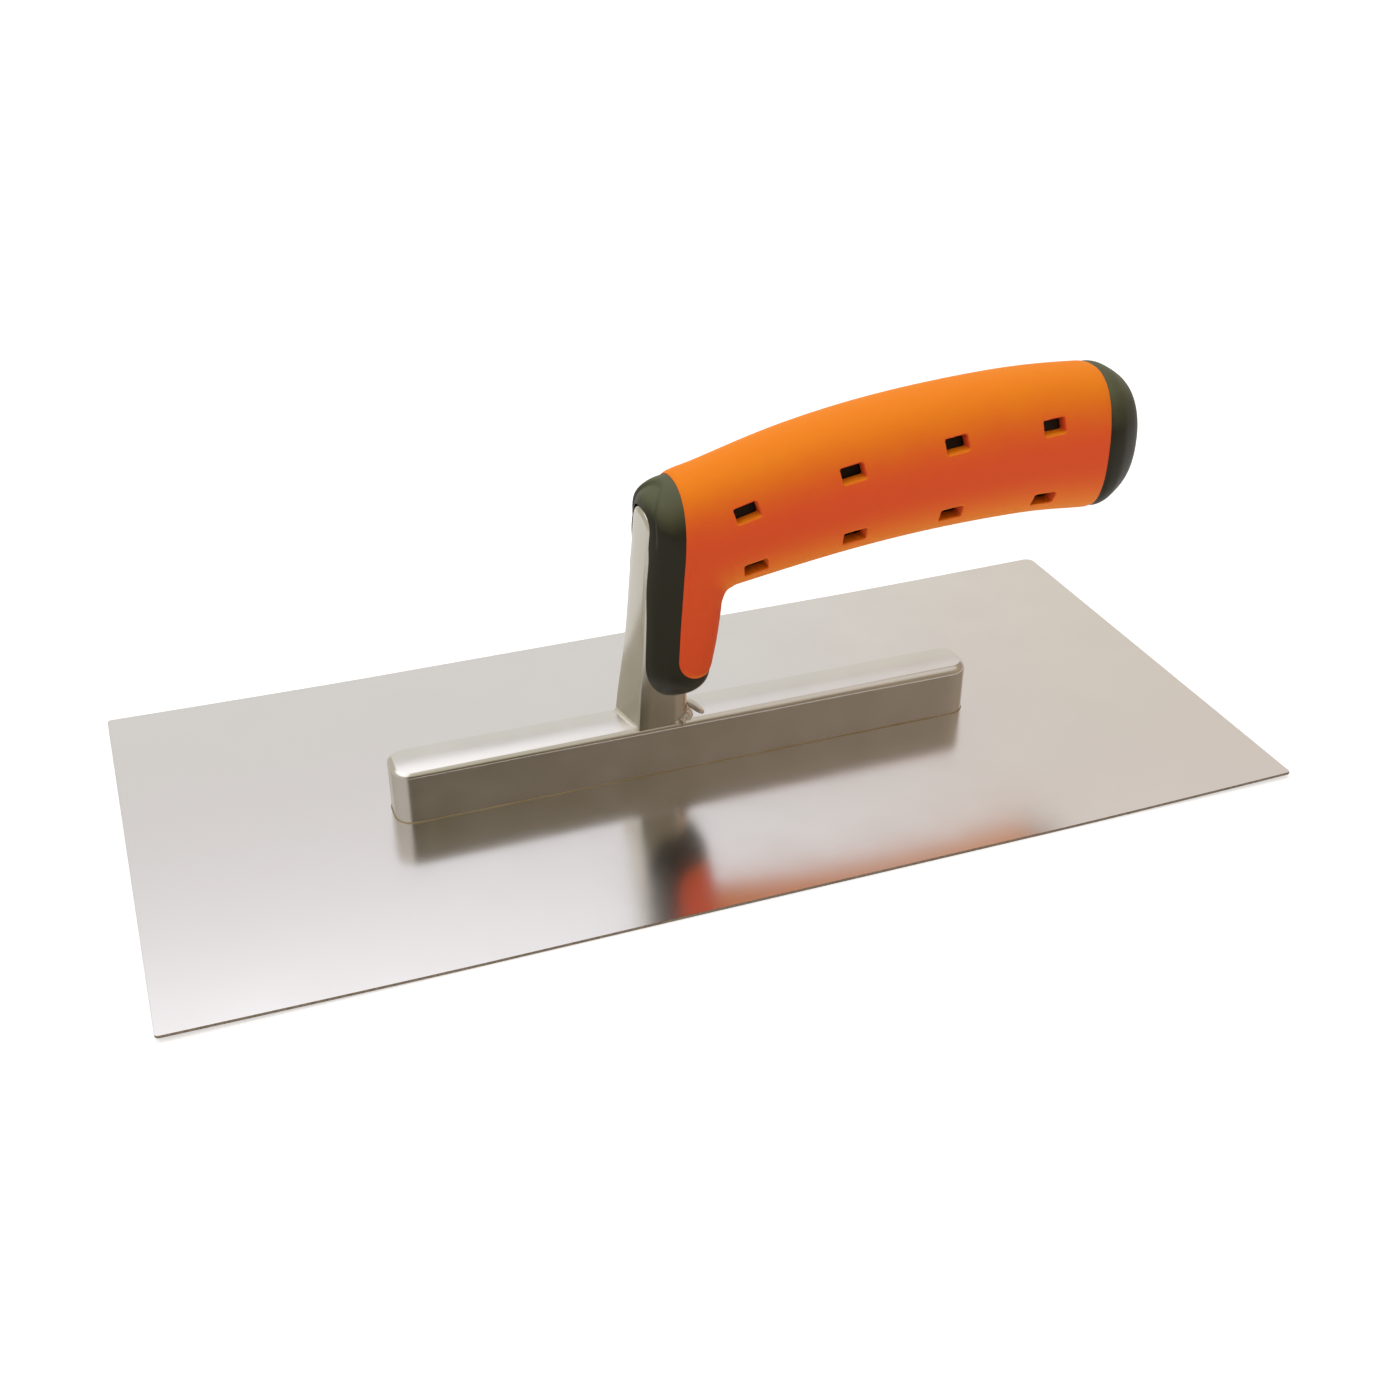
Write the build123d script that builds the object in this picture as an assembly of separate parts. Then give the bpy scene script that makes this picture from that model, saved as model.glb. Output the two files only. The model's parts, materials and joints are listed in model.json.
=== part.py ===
"""Steel finishing trowel with a two-colour soft grip.

Frame: origin on the underside of the blade, at its centre.  X runs along the blade, with the
free end of the handle towards +X.  Y runs across the blade and Z points up.  Millimetres.
"""
import os
from math import cos, sin, radians, copysign
from build123d import *

# ---- blade -------------------------------------------------------------------------------------
blade_length = 280.0
blade_width = 130.0
blade_thickness = 0.7
blade_corner = 1.0

# ---- pressed back bar --------------------------------------------------------------------------
bar_length = 155.0
bar_width = 12.8
bar_height = 14.4            # from the blade's top to the crest of the crown
bar_crown = 0.6              # rise of the top from its long edges to its crest
bar_corner = 4.5             # corners in plan
bar_edge = 1.4               # rounding of the top edge
bar_offset = -2.0            # y of the bar, the post and the handle on the blade
bar_wall = 1.5
seam_bead = 0.5              # leg of the weld bead round the bar's foot

# ---- post --------------------------------------------------------------------------------------
post_half = 5.9              # half width of the sides
post_tip_half = 5.8
tip_height = 56.9            # of the rounded tip over the bar's crest
# height over the crest, x of the near edge, how far the far edge stands before it, leg of the bevels
post_fronts = [(-3.0, -16.1, 2.2, 0.5), (0.0, -15.95, 2.1, 0.55), (8.0, -15.6, 1.5, 0.7),
               (18.0, -14.95, 0.8, 1.0), (30.0, -14.3, 0.3, 1.1), (42.0, -13.55, 0.1, 1.15),
               (tip_height, -12.55, 0.0, 1.15)]
post_bow = 0.5               # how far the middle of the front bulges
post_rear = -1.5
post_rear_edge = 5.0
foot_bead = 0.9              # leg of the weld bead at the post's foot
bead_lump = 1.8              # radius of each drop of the rear bead
bead_pitch = 2.2
bead_sag = 0.35              # the row of drops follows the rounded rear
bead_pit = 0.8               # pit in the drop where the bead stops

# ---- handle: heights are measured from the underside of its leg ----------------------------------
leg_gap = 6.2                # bare post between the bar's crest and the leg
leg_toe = 10.9               # height of the rounded lower end
leg_half = 12.1              # half width of the leg
corner_half = 13.5           # half width where the leg turns into the arm
arm_half = 15.7              # half width of the arm
arm_end_half = 15.3
leg_rear = [(4.2, leg_toe), (6.4, 21.9)]
leg_front = [(-14.3, leg_toe), (-14.1, 23.9)]
inner_corner = (10.4, 24.3)  # centre of the rounding between leg and arm
inner_radius = 4.0
inner_turn = 83.0            # degrees that the rounding turns
brow = [(-14.1, 23.9), (-14.0, 33.8), (-13.5, 43.7), (-13.1, 52.4), (-5.4, 57.5), (3.2, 59.9)]
arm_top = [(3.2, 59.9), (19.1, 64.2), (44.0, 68.9), (70.3, 71.5), (93.7, 72.1), (106.6, 71.4)]
arm_under = [(24.6, 30.8), (47.0, 33.8), (70.8, 35.2), (93.7, 34.9), (106.6, 33.8)]
dome_length = 13.5           # rounded free end beyond the last arm section
leg_squareness = 2.7         # superellipse exponents of the sections
arm_squareness = 2.2

# ---- handle: joints between its mouldings --------------------------------------------------------
grip_thickness = 3.0         # soft layer over the core
front_seam = [(-7.1, 14.9), (-4.9, 56.7)]
tongue_end = 8.35            # height of the soft layer's lower end
tongue_round = 5.6
tongue_rear = 2.2            # x where the soft layer's lower edge starts to climb at 45 degrees
tongue_climb = 10.9
rear_seam = 107.6            # x of the rear seam on the middle plane
rear_seam_radius = 56.0      # the seam bows towards the free end
core_wall = 2.5
rib_places = (24.0, 50.0, 76.0)      # along the tang, from its start
rib_thickness = 3.0
bulkhead_place = 102.5
bulkhead_thickness = 5.0
cap_wall = 2.6
cap_flange = 2.0             # thick ring of the cap behind the seam
spigot_wall = 1.8
spigot_length = 6.5          # how far the cap plugs into the core
spigot_clearance = 0.15
post_clearance = 0.05        # round the post in the collar and the core
slot_ahead = 5.0             # how far the collar's slot is cut open before the post's front

# ---- windows in the soft layer: x, height over the leg's underside, tilt in degrees ---------------
window_length = 6.0
window_height = 3.6
window_corner = 0.5
upper_windows = [(9.5, 51.5, 16), (35.8, 57.9, 10), (62.9, 61.4, 6), (89.6, 62.2, 3)]
lower_windows = [(12.5, 36.5, 14), (37.4, 41.2, 8), (63.1, 43.2, 5), (89.4, 42.8, 0)]

# ---- tang ----------------------------------------------------------------------------------------
tang_radius = 4.0
tang_start = (-10.7, 43.2)   # x and height of the bottom of its blind hole in the post
tang_tilt = 5.4
tang_spare = 1.5             # thread past the nut
tang_clearance = 0.2
washer_radius = 8.5
washer_thickness = 1.6
nut_flats = 13.0
nut_height = 6.5

# ---- places worked out from the sizes ------------------------------------------------------------
bar_base = blade_thickness
bar_top = bar_base + bar_height
leg_base = bar_top + leg_gap
FAR = 400.0                  # larger than the whole trowel


def at_height(points):
    """Handle outline points (x, height over the leg's underside) as points in the XZ plane."""
    return [Vector(x, 0, leg_base + height) for x, height in points]


def corner_start():
    """The point where the inner rounding meets the arm's underside."""
    angle = radians(180 - inner_turn)
    x, height = inner_corner
    return (x + inner_radius * cos(angle), height + inner_radius * sin(angle))


def section(inner, outer, half_width, squareness):
    """Closed superellipse face from the inner to the outer point of one handle section."""
    reach = (outer - inner).length / 2
    across = (outer - inner).normalized()
    plane = Plane(origin=(inner + outer) / 2, x_dir=across, z_dir=across.cross(Vector(0, 1, 0)))
    power = 2 / squareness
    points = []
    for step in range(12):
        c, s = cos(radians(30 * step)), sin(radians(30 * step))
        points.append((reach * copysign(abs(c) ** power, c), half_width * copysign(abs(s) ** power, s)))
    return plane * make_face(Spline(*points, periodic=True))


def squeeze(inner, outer, inset):
    """The two points of a section, each moved towards the other by the inset."""
    across = (outer - inner).normalized()
    return inner + across * inset, outer - across * inset


def toe_sections(inset):
    """Sections of the rounded lower end of the leg, from its tip upwards."""
    rear, front = at_height([leg_rear[0], leg_front[0]])
    rear, front = squeeze(rear, front, inset)
    middle, reach = (rear + front) / 2, (rear - front) / 2
    faces = []
    for angle in (84, 70, 54, 37, 19):
        c, s = cos(radians(angle)), sin(radians(angle))
        low = middle - Vector(0, 0, (leg_toe - inset) * s)
        faces.append(section(low + reach * c, low - reach * c, (leg_half - inset) * c, leg_squareness))
    return faces


def dome_sections(inset):
    """Sections of the rounded free end, from the arm to its tip."""
    low, high = squeeze(*at_height([arm_under[-1], arm_top[-1]]), inset)
    middle, reach = (low + high) / 2, (high - low) / 2
    faces = []
    for angle in (20, 38, 54, 70, 84):
        c, s = cos(radians(angle)), sin(radians(angle))
        centre = middle + Vector((dome_length - inset) * s, 0, 0)
        tall = reach * c ** 0.85
        faces.append(section(centre - tall, centre + tall, (arm_end_half - inset) * c, arm_squareness))
    return faces


def envelope(inset=0.0):
    """The handle's outer shape, or the same shape smaller by the inset all round."""
    faces = toe_sections(inset)
    rear, front = Line(*at_height(leg_rear)), Line(*at_height(leg_front))
    for u in (0.0, 0.5):
        faces.append(section(*squeeze(rear @ u, front @ u, inset), leg_half - inset, leg_squareness))
    brow_line = Spline(*at_height(brow))
    centre = at_height([inner_corner])[0]
    for step in range(9):
        u = step / 8
        angle = radians(180 - inner_turn * u)
        inner = centre + Vector(cos(angle), 0, sin(angle)) * inner_radius
        half = leg_half + (corner_half - leg_half) * u
        power = leg_squareness + (arm_squareness - leg_squareness) * u
        faces.append(section(*squeeze(inner, brow_line @ u, inset), half - inset, power))
    under, top = Spline(*at_height([corner_start()] + arm_under)), Spline(*at_height(arm_top))
    widths = Spline((0, corner_half), (0.35, arm_half - 0.2), (0.7, arm_half), (1, arm_end_half))
    for step in range(1, 9):
        u = step / 8
        half = (widths @ u).Y
        faces.append(section(*squeeze(under @ u, top @ u, inset), half - inset, arm_squareness))
    return loft(faces + dome_sections(inset))


def side_region(*outline):
    """Everything inside a closed outline in the XZ plane, through the whole width."""
    return extrude(Plane.XZ * make_face(outline), FAR, both=True)


def grip_region():
    """The stretch of the handle that the soft layer covers, tongue on the leg included."""
    low = leg_base + tongue_end
    (x1, h1), (x2, h2) = front_seam
    slope = (x2 - x1) / (h2 - h1)
    front = lambda z: (x1 + slope * (z - leg_base - h1), z)
    climb = [(tongue_rear, low), (tongue_rear + tongue_climb, low + tongue_climb), (FAR, low + tongue_climb)]
    side = FilletPolyline(front(FAR), front(low), *climb, (FAR, FAR), radius=tongue_round, close=True)
    half = rear_seam_radius / 2
    drop = rear_seam_radius - (rear_seam_radius ** 2 - half ** 2) ** 0.5
    ends = [(rear_seam - drop, -half), (rear_seam - drop, half)]
    plan = [ThreePointArc(ends[0], (rear_seam, 0), ends[1]),
            Polyline(ends[1], (-half, half), (-half, -half), ends[0])]
    return side_region(side) & extrude(make_face(plan), FAR)


def along_tang(distance):
    """Plane square to the tang at a distance from its start."""
    x, height = tang_start
    step = Vector(cos(radians(tang_tilt)), 0, sin(radians(tang_tilt)))
    return Plane(origin=Vector(x, 0, leg_base + height) + step * distance, x_dir=(0, 1, 0), z_dir=step)


def slice_of_handle(start, end):
    """Everything between two planes square to the tang."""
    return extrude(along_tang(start) * Rectangle(FAR, FAR), end - start)


def rod(start, end, radius):
    """Round rod on the tang's axis."""
    return extrude(along_tang(start) * Circle(radius), end - start)


# ---- steel ---------------------------------------------------------------------------------------
def blade():
    """Flat sheet with barely rounded corners."""
    return extrude(RectangleRounded(blade_length, blade_width, blade_corner), blade_thickness)


def bar_block(inset=0.0):
    """The bar's outer shape, or its hollow when inset by the wall."""
    plan = RectangleRounded(bar_length - 2 * inset, bar_width - 2 * inset, bar_corner - inset)
    block = Pos(0, 0, bar_base) * extrude(plan, bar_height)
    half = bar_width / 2
    radius = (half ** 2 + bar_crown ** 2) / (2 * bar_crown)
    crown = Pos(0, 0, bar_top - radius) * Rot(0, 90, 0) * Cylinder(radius - inset, FAR)
    block = block & crown
    top_edges = [e for e in block.edges() if e.center().Z > bar_top - bar_crown - inset - 0.2]
    return fillet(top_edges, bar_edge - inset / 2)


def back_bar():
    """Pressed bar, hollow and open towards the blade."""
    return bar_block() - bar_block(bar_wall)


def bar_seam_weld():
    """Weld bead all round the bar's foot."""
    grown = RectangleRounded(bar_length + 2 * seam_bead, bar_width + 2 * seam_bead, bar_corner + seam_bead)
    bead = Pos(0, 0, bar_base) * extrude(grown, seam_bead)
    outer = bead.edges().filter_by(lambda e: e.center().Z > bar_base + seam_bead / 2)
    bead = chamfer(outer, seam_bead * 0.8)
    return bead - Pos(0, 0, bar_base) * extrude(RectangleRounded(bar_length, bar_width, bar_corner), FAR)


def post_outline(z, edge, skew, bevel, grow):
    """Section of the post at a height: bowed front, skewed forward at the far side, rounded rear corners."""
    share = (z - bar_top) / tip_height
    side = post_half + (post_tip_half - post_half) * share + grow
    face = side - bevel
    near, far_edge, rear = edge - grow, edge - skew - grow, post_rear + grow
    middle = ((near + far_edge) / 2 - post_bow, 0)
    outline = make_face([
        ThreePointArc((near, -face), middle, (far_edge, face)),
        Polyline((far_edge, face), (far_edge + bevel, side), (rear, side), (rear, -side),
                 (near + bevel, -side), (near, -face))])
    return Pos(0, 0, z) * fillet(outline.vertices().sort_by(Axis.X)[-2:], post_rear_edge)


def post_column(grow=0.0, ahead=0.0):
    """The post with a flat end, from inside the bar up to its tip; its front can be moved ahead."""
    return loft([post_outline(bar_top + height, edge - ahead, skew, bevel, grow)
                 for height, edge, skew, bevel in post_fronts])


def post_block(grow=0.0, ahead=0.0):
    """The post from inside the bar up to its rounded tip; its front can be moved ahead."""
    radius = post_tip_half + grow
    arch = Pos(0, 0, bar_top + tip_height + grow - radius) * Rot(0, 90, 0) * Cylinder(radius, FAR)
    below = Pos(0, 0, bar_top + tip_height + grow - radius - FAR / 2) * Box(FAR, FAR, FAR)
    return post_column(grow, ahead) & (arch + below)


def post():
    """Solid post, cut to the bar's crown, with a blind hole for the tang."""
    return post_block() - bar_block() - below_bar_top() - rod(0, FAR / 4, tang_radius)


def below_bar_top():
    """Everything beside and under the bar's crown."""
    return Pos(0, 0, bar_top - bar_edge - bar_crown - FAR / 2) * Box(FAR, FAR, FAR)


def foot_bead_block():
    """Bead all round the post's foot, before it is cut back to the bar."""
    foot = post_fronts[1][1:]
    low, high = bar_top - bar_edge, bar_top + foot_bead
    bead = loft([post_outline(low, *foot, 3 * foot_bead), post_outline(high, *foot, 0.05)])
    return bead - post_block() - bar_block()


def post_welds():
    """Front and rear beads at the post's foot, within the bar's width."""
    lane = Pos(0, 0, bar_top) * Box(bar_length, 2 * post_half - foot_bead / 2, 4 * foot_bead)
    front, rear = (foot_bead_block() & lane).solids().sort_by(Axis.X)
    for step in (-2, -1, 0, 1, 2):
        place = Pos(post_rear + 0.8 - bead_sag * step ** 2, step * bead_pitch, bar_top - bar_crown / 2)
        rear += place * Sphere(bead_lump)
    end = Pos(post_rear + 2.2 * bead_lump, -bead_lump / 2, bar_top - bar_crown / 2)
    rear += end * Sphere(bead_lump)
    rear -= end * Pos(bead_lump / 3, 0, bead_lump) * Sphere(bead_pit)
    rear = rear - post_block() - bar_block() - below_bar_top()
    return front, rear


# ---- handle --------------------------------------------------------------------------------------
def window_cutters():
    """Slots through both sides of the soft layer, drawn straight out sideways."""
    shape = RectangleRounded(window_length, window_height, window_corner)
    cutters = []
    for x, height, tilt in upper_windows + lower_windows:
        place = Plane.XZ * Pos(x, leg_base + height) * Rot(0, 0, tilt)
        cutters.append(extrude(place * shape, FAR, both=True))
    return cutters


def core_halves(inner, region):
    """Hollow core in two mirrored halves, ribbed, with a bulkhead for the nut."""
    core = inner & region & Pos(-spigot_clearance, 0, 0) * region
    hollow = envelope(grip_thickness + core_wall)
    starts = [place + rib_thickness for place in rib_places] + [bulkhead_place + bulkhead_thickness]
    ends = list(rib_places[1:]) + [bulkhead_place, bulkhead_place + FAR / 4]
    for start, end in zip(starts, ends):
        core -= hollow & slice_of_handle(start, end)
    core -= post_block(post_clearance)
    core -= rod(0, bulkhead_place + bulkhead_thickness, tang_radius + tang_clearance)
    right = core & Pos(0, -FAR / 2, 0) * Box(2 * FAR, FAR, 2 * FAR)
    return right, mirror(right, Plane.XZ)


def end_cap(block, region):
    """Rounded free end, hollow, with a spigot that plugs into the core."""
    rim = grip_thickness + core_wall + spigot_clearance
    before_flange = Pos(cap_flange, 0, 0) * region
    before_spigot = Pos(-spigot_length, 0, 0) * region
    band = (before_flange - before_spigot).solids().sort_by(Axis.X)[-1]
    hollow = (envelope(cap_wall) - before_flange).solids().sort_by(Axis.X)[-1]
    return block + (envelope(rim) & band) - envelope(rim + spigot_wall) - hollow


def tang():
    """Rod from the blind hole in the post to just past the nut."""
    length = bulkhead_place + bulkhead_thickness + washer_thickness + nut_height + tang_spare
    return chamfer(rod(0, length, tang_radius).edges().sort_by(Axis.X)[-1], 0.6)


def tang_washer():
    """Flat washer behind the bulkhead."""
    start = bulkhead_place + bulkhead_thickness
    end = start + washer_thickness
    return rod(start, end, washer_radius) - rod(start, end, tang_radius + tang_clearance)


def tang_nut():
    """Hexagon nut with chamfered corners."""
    start = bulkhead_place + bulkhead_thickness + washer_thickness
    hexagon = along_tang(start) * Rot(0, 0, 30) * RegularPolygon(nut_flats / 2, 6, major_radius=False)
    nut = extrude(hexagon, nut_height) & chamfer(
        rod(start, start + nut_height, nut_flats / 2 * 1.12).edges(), 0.5)
    return nut - rod(start, start + nut_height, tang_radius)


def build():
    """All pieces by node name."""
    outer, inner, region = envelope(), envelope(grip_thickness), grip_region()
    ends = (outer - region).solids().sort_by(Axis.X)
    right, left = core_halves(inner, region)
    front_weld, rear_weld = post_welds()
    soft = (outer & region) - inner
    for cutter in window_cutters():
        soft -= cutter
    on_bar = Pos(0, bar_offset, 0)
    mounted = {
        "back_bar": back_bar(),
        "bar_seam_weld": bar_seam_weld(),
        "post": post(),
        "post_front_weld": front_weld,
        "post_rear_weld": rear_weld,
        "tang": tang(),
        "tang_washer": tang_washer(),
        "tang_nut": tang_nut(),
        "core_right_half": right,
        "core_left_half": left,
        "front_collar": ends[0] - post_block(post_clearance, slot_ahead),
        "soft_grip": soft,
        "end_cap": end_cap(ends[-1], region),
    }
    return {"blade": blade()} | {name: on_bar * piece for name, piece in mounted.items()}


os.makedirs("parts", exist_ok=True)
for name, piece in build().items():
    export_step(piece, f"parts/{name}.step")
    print(name, len(piece.solids()), "solid(s)", round(piece.volume), "mm3")
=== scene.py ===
# %% [markdown]
# # A steel finishing trowel
# The real tool is a springy stainless blade, a pressed steel bar welded along its back, a solid
# steel post, and a handle of hard plastic with a soft rubber-like layer moulded over it. The
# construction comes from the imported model. Here every piece that shows is made again as a dense,
# rounded surface with a finish of its own, in the same place and at the same size.

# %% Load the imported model
import json
from math import cos, pi, radians, sin
import bpy
import numpy as np
from mathutils import Matrix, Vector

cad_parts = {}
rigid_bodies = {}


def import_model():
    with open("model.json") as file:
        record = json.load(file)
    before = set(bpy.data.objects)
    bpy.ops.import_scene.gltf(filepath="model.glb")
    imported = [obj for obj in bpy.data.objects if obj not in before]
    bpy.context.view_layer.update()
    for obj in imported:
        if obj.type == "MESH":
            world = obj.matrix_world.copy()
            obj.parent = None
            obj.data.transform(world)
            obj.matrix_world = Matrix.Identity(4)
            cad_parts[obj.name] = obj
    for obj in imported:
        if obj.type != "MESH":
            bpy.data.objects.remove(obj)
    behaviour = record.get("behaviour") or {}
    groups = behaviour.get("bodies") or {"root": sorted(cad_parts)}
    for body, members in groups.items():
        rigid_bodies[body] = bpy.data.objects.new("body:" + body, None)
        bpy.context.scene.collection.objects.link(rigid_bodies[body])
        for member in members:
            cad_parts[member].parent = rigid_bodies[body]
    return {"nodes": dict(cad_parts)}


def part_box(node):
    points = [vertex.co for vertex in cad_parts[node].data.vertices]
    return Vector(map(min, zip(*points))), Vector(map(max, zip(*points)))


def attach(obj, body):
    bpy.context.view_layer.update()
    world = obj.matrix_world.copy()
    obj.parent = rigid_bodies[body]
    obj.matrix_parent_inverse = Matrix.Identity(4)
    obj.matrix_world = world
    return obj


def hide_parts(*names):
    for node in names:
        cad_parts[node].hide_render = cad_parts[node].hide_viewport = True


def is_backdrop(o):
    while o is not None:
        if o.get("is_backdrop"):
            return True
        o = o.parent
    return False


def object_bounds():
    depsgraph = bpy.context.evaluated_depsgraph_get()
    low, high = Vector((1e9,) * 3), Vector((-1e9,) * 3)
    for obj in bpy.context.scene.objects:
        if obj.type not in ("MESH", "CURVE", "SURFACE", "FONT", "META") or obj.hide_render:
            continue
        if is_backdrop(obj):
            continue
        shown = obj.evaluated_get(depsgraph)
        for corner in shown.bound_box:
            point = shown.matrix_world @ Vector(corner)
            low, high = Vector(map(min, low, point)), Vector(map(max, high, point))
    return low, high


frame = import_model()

for leftover in [o for o in bpy.data.objects if o.name in ("Cube", "Light", "Camera")]:
    bpy.data.objects.remove(leftover)
cad_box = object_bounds()
print("nodes:", *sorted(frame["nodes"]))

# %% [markdown]
# ## Sizes
# Shapes are worked out in millimetres and turned to metres once, when a mesh is made. The outer sizes of
# blade, bar and post are read from the model.

# %% Sizes read from the model
MM = 0.001


def box_mm(node):
    """Lowest and highest corner of a CAD node in millimetres."""
    low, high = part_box(node)
    return np.array(low) / MM, np.array(high) / MM


blade_half_length, blade_half_width, blade_top = box_mm("blade")[1]
bar_low, bar_high = box_mm("back_bar")
bar_half_length, bar_half_width, bar_top = *(bar_high - bar_low)[:2] / 2, bar_high[2]
bar_offset = (bar_high + bar_low)[1] / 2
post_tip = box_mm("post")[1][2]
for node in ("blade", "back_bar", "post"):
    print(node, *(corner.round(2) for corner in box_mm(node)))

# %% [markdown]
# ## From arrays to a closed mesh
# Most pieces are skins: a stack of rings with the same number of points, joined by four-sided faces and
# closed at each end by a fan of triangles. The signed volume tells whether the faces look outwards, and if
# they don't, all of them are turned round.

# %% Skins
join_within = 0.005  # points closer than this are made one


def way_along(points):
    """Distance of each flat point from the first, along their line."""
    return np.concatenate([[0], np.cumsum(np.hypot(*np.diff(points, axis=0).T))])


def unit(vectors):
    """Vectors of length one in the same directions."""
    return vectors / np.linalg.norm(vectors, axis=-1, keepdims=True)


def signed_volume(points, faces):
    """Sum over the triangles of the box product of their corners, divided by six."""
    a, b, c = (points[faces[:, k]] for k in range(3))
    return np.einsum("ij,ij->", a, np.cross(b, c)) / 6


def add_mesh(name, points, quads, triangles):
    """Mesh object from points in millimetres, its faces turned outwards."""
    halves = [quads[:, [0, 1, 2]], quads[:, [0, 2, 3]], triangles]
    if signed_volume(points, np.concatenate(halves)) < 0:
        quads, triangles = quads[:, ::-1], triangles[:, ::-1]
    mesh = bpy.data.meshes.new(name)
    mesh.from_pydata(points * MM, [], quads.tolist() + triangles.tolist())
    piece = bpy.data.objects.new(name, mesh)
    bpy.context.scene.collection.objects.link(piece)
    return piece


def skin(name, rings, first="fan", last="fan"):
    """Rings (rows, columns, 3) as one skin; an end is a fan, joined to the other end, or a flat seam."""
    rows, columns = rings.shape[:2]
    column = np.arange(columns)
    pair = np.stack([column, (column + 1) % columns], -1)
    start = np.arange(rows if "joined" in (first, last) else rows - 1)[:, None, None] * columns
    quads = np.concatenate([start + pair, start + pair[:, ::-1] + columns], -1).reshape(-1, 4)
    points, fans = [rings.reshape(-1, 3)], [np.zeros((0, 3), int)]
    for end, row, edge in ((first, 0, pair[:, ::-1]), (last, rows - 1, pair)):
        if end == "fan":
            tip = np.full(columns, sum(len(p) for p in points))
            fans.append(np.column_stack([edge + row * columns, tip]))
            points.append(rings[row].mean(axis=0, keepdims=True))
    return add_mesh(name, np.concatenate(points), quads % (rows * columns), np.concatenate(fans))


def smooth(piece, angle=35):
    """Rounded shading, with a hard edge where faces meet at more than the angle."""
    piece.data.shade_smooth()
    piece.data.set_sharp_from_angle(angle=radians(angle))
    return piece


def modified(piece, kind, **settings):
    """Gives the piece one modifier, and replaces its mesh by the result."""
    step = piece.modifiers.new(kind, kind)
    for name, value in settings.items():
        setattr(step, name, value)
    made = bpy.data.meshes.new_from_object(piece.evaluated_get(bpy.context.evaluated_depsgraph_get()))
    piece.modifiers.clear()
    old, piece.data = piece.data, made
    made.name = piece.name
    bpy.data.meshes.remove(old)
    return piece


def weld_points(piece):
    """Joins points that lie on each other."""
    return modified(piece, "WELD", merge_threshold=join_within * MM)


def cut(piece, tool, operation="DIFFERENCE"):
    """Boolean of two closed skins; the tool is used up."""
    modified(piece, "BOOLEAN", object=tool, operation=operation, solver="MANIFOLD")
    bpy.data.objects.remove(tool)
    return piece


def report(piece):
    """Prints how many faces the piece has and how large it is."""
    size = np.array(piece.dimensions) / MM
    print(f"{piece.name}: {len(piece.data.polygons)} faces, {size.round(1)} mm")


# %% [markdown]
# ## The camera
# It stands where a person would who looks at the trowel on a bench: before the long edge, a little to the
# left, and half a metre away. It is aimed by three angles round a target point.

# %% Camera
camera_azimuth, camera_elevation, camera_roll = -20.985, 31.259, 0.363
camera_target = np.array([12.245, 22.659, 0.0])
camera_distance = 459.897
focal_length, sensor_width = 43.226, 36.0


def stand(item, right, up, back, place):
    """Puts a camera or lamp at a place; its three directions are the columns of its matrix."""
    turn = np.stack([right, up, back], 1).tolist()
    item.matrix_world = Matrix([[*row, 0] for row in turn] + [[0, 0, 0, 1]])
    item.location = place
    bpy.context.scene.collection.objects.link(item)


def add_camera():
    """Camera at target + distance x back; right and up are turned about back by the roll."""
    a, e, r = (radians(angle) for angle in (camera_azimuth, camera_elevation, camera_roll))
    back = np.array([sin(a) * cos(e), -cos(a) * cos(e), sin(e)])
    level = np.array([cos(a), sin(a), 0])
    upright = np.cross(back, level)
    right = level * cos(r) + upright * sin(r)
    up = upright * cos(r) - level * sin(r)
    camera = bpy.data.objects.new("camera", bpy.data.cameras.new("camera"))
    camera.data.lens, camera.data.sensor_width = focal_length, sensor_width
    stand(camera, right, up, back, (camera_target + back * camera_distance) * MM)
    bpy.context.scene.camera = camera


add_camera()

# %% [markdown]
# ## The blade
# A finishing blade is a thin sheet of spring steel. It is not quite flat: both ends lift by under a
# millimetre, so that the corners don't dig into the plaster. One corner is worn round. The skin is a thin
# rectangle carried along the blade. The lift is one formula of x, and each corner is a quarter circle that
# narrows the rectangle.

# %% Blade
blade_lift = 0.9  # at both ends
lift_start = 70.0  # x where the lift begins
corner_sharp, corner_worn = 0.9, 2.6
edge_break = 0.12  # bevel on the sheet's edges
blade_columns = 27  # points across each flat side


def lift(x):
    """Height of the blade's bow: zero over the bar, then a power curve to both ends."""
    share = np.clip((np.abs(x) - lift_start) / (blade_half_length - lift_start), 0, 1)
    return blade_lift * share ** 1.4


def corner_narrowing(x, radius):
    """How far a corner takes the long edge in: radius minus the height of its circle."""
    past = np.clip(x - (blade_half_length - radius), 0, radius)
    return radius - np.sqrt(radius ** 2 - past ** 2)


def blade_stations():
    """Places along the blade: 2.5 mm apart, and by equal angles in the corners."""
    quarter = np.radians(np.linspace(0, 90, 13))
    corners = [blade_half_length - r + r * np.sin(quarter) for r in (corner_sharp, corner_worn)]
    half = np.unique(np.concatenate([np.arange(0, blade_half_length - corner_worn, 2.5), *corners]))
    return np.concatenate([-half[:0:-1], half])


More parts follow.
